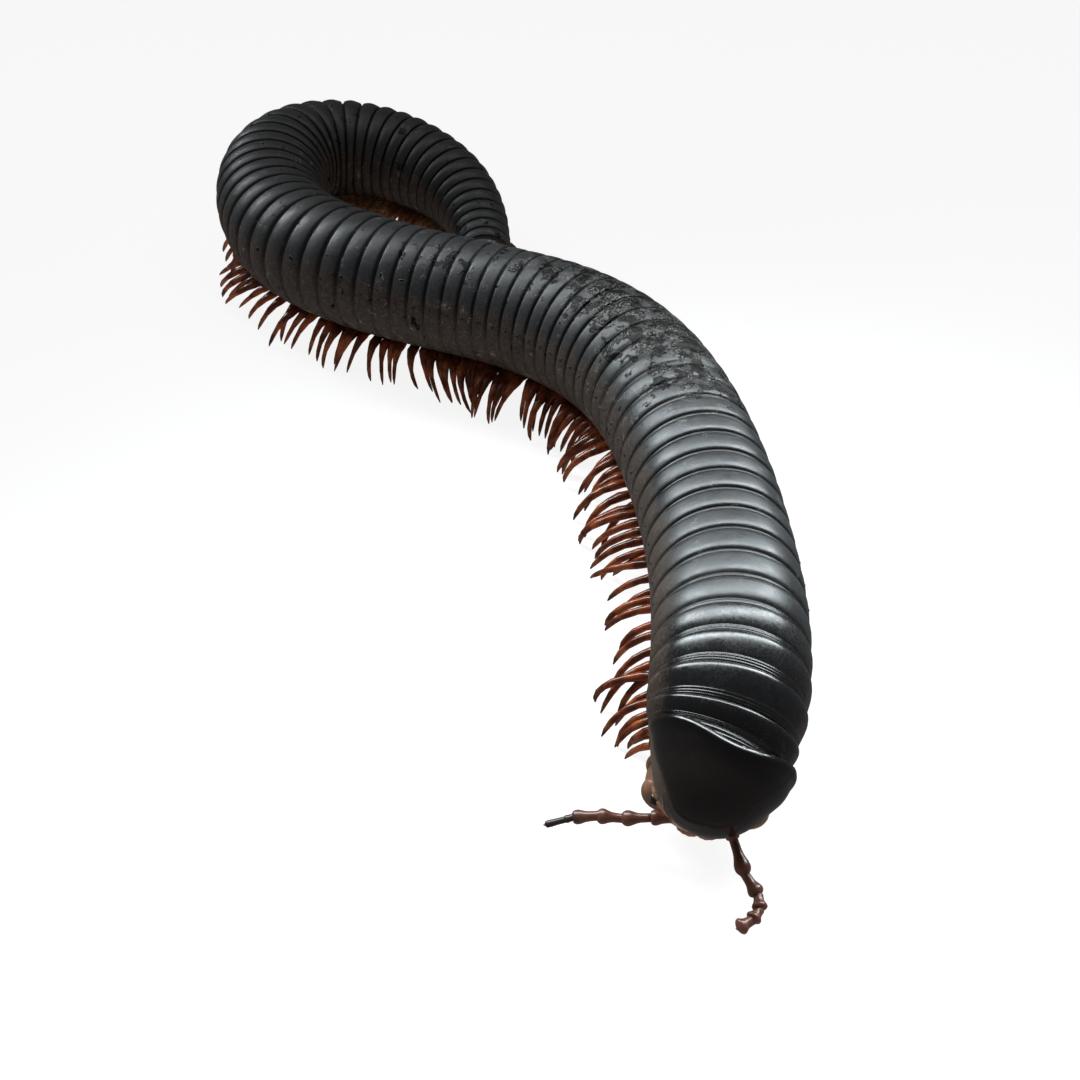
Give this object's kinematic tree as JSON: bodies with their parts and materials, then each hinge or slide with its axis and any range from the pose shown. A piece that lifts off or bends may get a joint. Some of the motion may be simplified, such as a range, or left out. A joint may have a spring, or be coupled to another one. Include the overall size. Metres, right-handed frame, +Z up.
{
  "type": "giant african millipede",
  "caption": "Life-size still model of a giant African millipede: a long ringed black trunk on brown legs, walking with its rear end curled round, antennae spread.",
  "frame": {"origin": "middle of the bounding box, at floor level", "axes": "+Z up from the floor the legs stand on, +Y from the head end towards the curled rear end, the head facing -Y"},
  "size_m": [0.0929, 0.1798, 0.0244],
  "materials": {
    "trunk": "satin black shell with brown legs",
    "collum": "polished black shell",
    "head": "satin brown",
    "antenna": "satin red-brown",
    "eye": "glossy black"
  },
  "bodies": {
    "root": {"head": "head", "collum": "collum", "trunk_01": "trunk", "trunk_02": "trunk", "trunk_03": "trunk", "trunk_04": "trunk", "trunk_05": "trunk", "trunk_06": "trunk", "trunk_07": "trunk", "trunk_08": "trunk", "trunk_09": "trunk", "trunk_10": "trunk", "trunk_11": "trunk", "trunk_12": "trunk", "telson": "trunk", "antenna_left": "antenna", "antenna_right": "antenna", "eye_left": "eye", "eye_right": "eye"}
  },
  "joints": []
}
